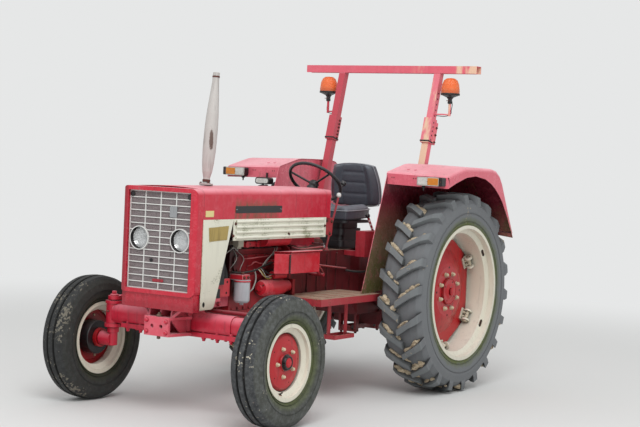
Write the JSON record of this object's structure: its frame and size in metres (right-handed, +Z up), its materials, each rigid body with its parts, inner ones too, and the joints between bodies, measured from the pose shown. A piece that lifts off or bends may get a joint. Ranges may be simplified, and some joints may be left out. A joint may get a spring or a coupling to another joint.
{
  "type": "vintage tractor",
  "caption": "Two-wheel-drive farm tractor with square wire grille, upright silencer, arched fenders, roll bar with beacons, and rear three-point hitch; wheels, steering, fan and links move.",
  "frame": {"origin": "on the ground, under the middle of the box round the whole tractor", "axes": "+Z up, -Y to the front, +X to the tractor's left"},
  "size_m": [1.97, 3.6099, 2.468],
  "materials": {
    "red_paint": "faded gloss enamel",
    "cast_iron": "red engine paint on rough castings",
    "dark_paint": "worn red enamel, rusty in places",
    "cream_paint": "chalky cream enamel",
    "black_paint": "satin black enamel",
    "silver_paint": "heat-proof silver paint",
    "grille_wire": "pale grey enamel on wire",
    "lamp": "silvered reflector",
    "tyre": "weathered rubber",
    "black_plastic": "moulded",
    "seat_vinyl": "black vinyl",
    "amber_plastic": "amber dome"
  },
  "bodies": {
    "chassis": {"front_axle": "red_paint", "front_support": "red_paint", "engine": "cast_iron", "engine_fittings": "dark_paint", "oil_filter": "silver_paint", "tool_box": "red_paint", "transmission": "cast_iron", "radiator": "black_paint", "nose": "red_paint", "grille": "grille_wire", "headlamps": "lamp", "bonnet": "red_paint", "cowl": "red_paint", "side_panels": "cream_paint", "exhaust": "silver_paint", "steering_column": "black_paint", "pedals": "dark_paint", "platform": "red_paint", "fender_left": "red_paint", "fender_right": "red_paint", "fender_lamps": "black_plastic", "seat_frame": "black_paint", "seat": "seat_vinyl", "roll_bar": "red_paint", "beacons": "amber_plastic", "drawbar": "dark_paint"},
    "knuckle_left": {"knuckle_left": "red_paint"},
    "knuckle_right": {"knuckle_right": "red_paint"},
    "tie_rod": {"tie_rod": "dark_paint"},
    "front_wheel_left": {"front_tyre_left": "tyre", "front_rim_left": "cream_paint", "front_disc_left": "red_paint"},
    "front_wheel_right": {"front_tyre_right": "tyre", "front_rim_right": "cream_paint", "front_disc_right": "red_paint"},
    "rear_wheel_left": {"rear_tyre_left": "tyre", "rear_rim_left": "cream_paint", "rear_disc_left": "red_paint"},
    "rear_wheel_right": {"rear_tyre_right": "tyre", "rear_rim_right": "cream_paint", "rear_disc_right": "red_paint"},
    "fan": {"fan": "black_paint"},
    "steering_wheel": {"steering_wheel": "black_plastic"},
    "lift_arms": {"lift_arms": "dark_paint"},
    "lift_rods": {"lift_rods": "dark_paint"},
    "lower_links": {"lower_links": "dark_paint"}
  },
  "joints": [
    {"name": "steer", "type": "hinge", "parent": "chassis", "child": "knuckle_left", "pos_m": [0.6, -1.38, 0.425], "axis": [0, 0, 1], "range_deg": [-40, 40]},
    {"name": "steer_right", "type": "hinge", "parent": "chassis", "child": "knuckle_right", "pos_m": [-0.6, -1.38, 0.425], "axis": [0, 0, 1], "range_deg": [-40, 40]},
    {"name": "tie_rod_swing", "type": "hinge", "parent": "knuckle_left", "child": "tie_rod", "pos_m": [0.6, -1.23, 0.68], "axis": [0, 0, 1], "range_deg": [-40, 40]},
    {"name": "steering_wheel_turn", "type": "hinge", "parent": "chassis", "child": "steering_wheel", "pos_m": [0, 0.139, 1.539], "axis": [0, 0.6561, 0.7547], "range_deg": [-600, 600]},
    {"name": "front_left_spin", "type": "hinge", "parent": "knuckle_left", "child": "front_wheel_left", "pos_m": [0.779, -1.38, 0.425], "axis": [1, 0, 0], "continuous": true},
    {"name": "front_right_spin", "type": "hinge", "parent": "knuckle_right", "child": "front_wheel_right", "pos_m": [-0.779, -1.38, 0.425], "axis": [1, 0, 0], "continuous": true},
    {"name": "rear_left_spin", "type": "hinge", "parent": "chassis", "child": "rear_wheel_left", "pos_m": [0.75, 0.86, 0.75], "axis": [1, 0, 0], "continuous": true},
    {"name": "rear_right_spin", "type": "hinge", "parent": "chassis", "child": "rear_wheel_right", "pos_m": [-0.75, 0.86, 0.75], "axis": [1, 0, 0], "continuous": true},
    {"name": "fan_spin", "type": "hinge", "parent": "chassis", "child": "fan", "pos_m": [0, -1.23, 1.09], "axis": [0, 1, 0], "continuous": true},
    {"name": "link_lift", "type": "hinge", "parent": "chassis", "child": "lower_links", "pos_m": [0, 0.87, 0.47], "axis": [1, 0, 0], "range_deg": [-16, 34]},
    {"name": "lift_arm_turn", "type": "hinge", "parent": "chassis", "child": "lift_arms", "pos_m": [0, 0.98, 0.99], "axis": [1, 0, 0], "range_deg": [-16, 34]},
    {"name": "lift_rod_swing", "type": "hinge", "parent": "lower_links", "child": "lift_rods", "pos_m": [0, 1.17, 0.47], "axis": [1, 0, 0], "range_deg": [-34, 16]}
  ],
  "couplings": [
    {"joint": "steer_right", "follows": "steer", "ratio": 1},
    {"joint": "tie_rod_swing", "follows": "steer", "ratio": -1},
    {"joint": "steering_wheel_turn", "follows": "steer", "ratio": 15},
    {"joint": "lift_arm_turn", "follows": "link_lift", "ratio": 1},
    {"joint": "lift_rod_swing", "follows": "link_lift", "ratio": -1}
  ]
}
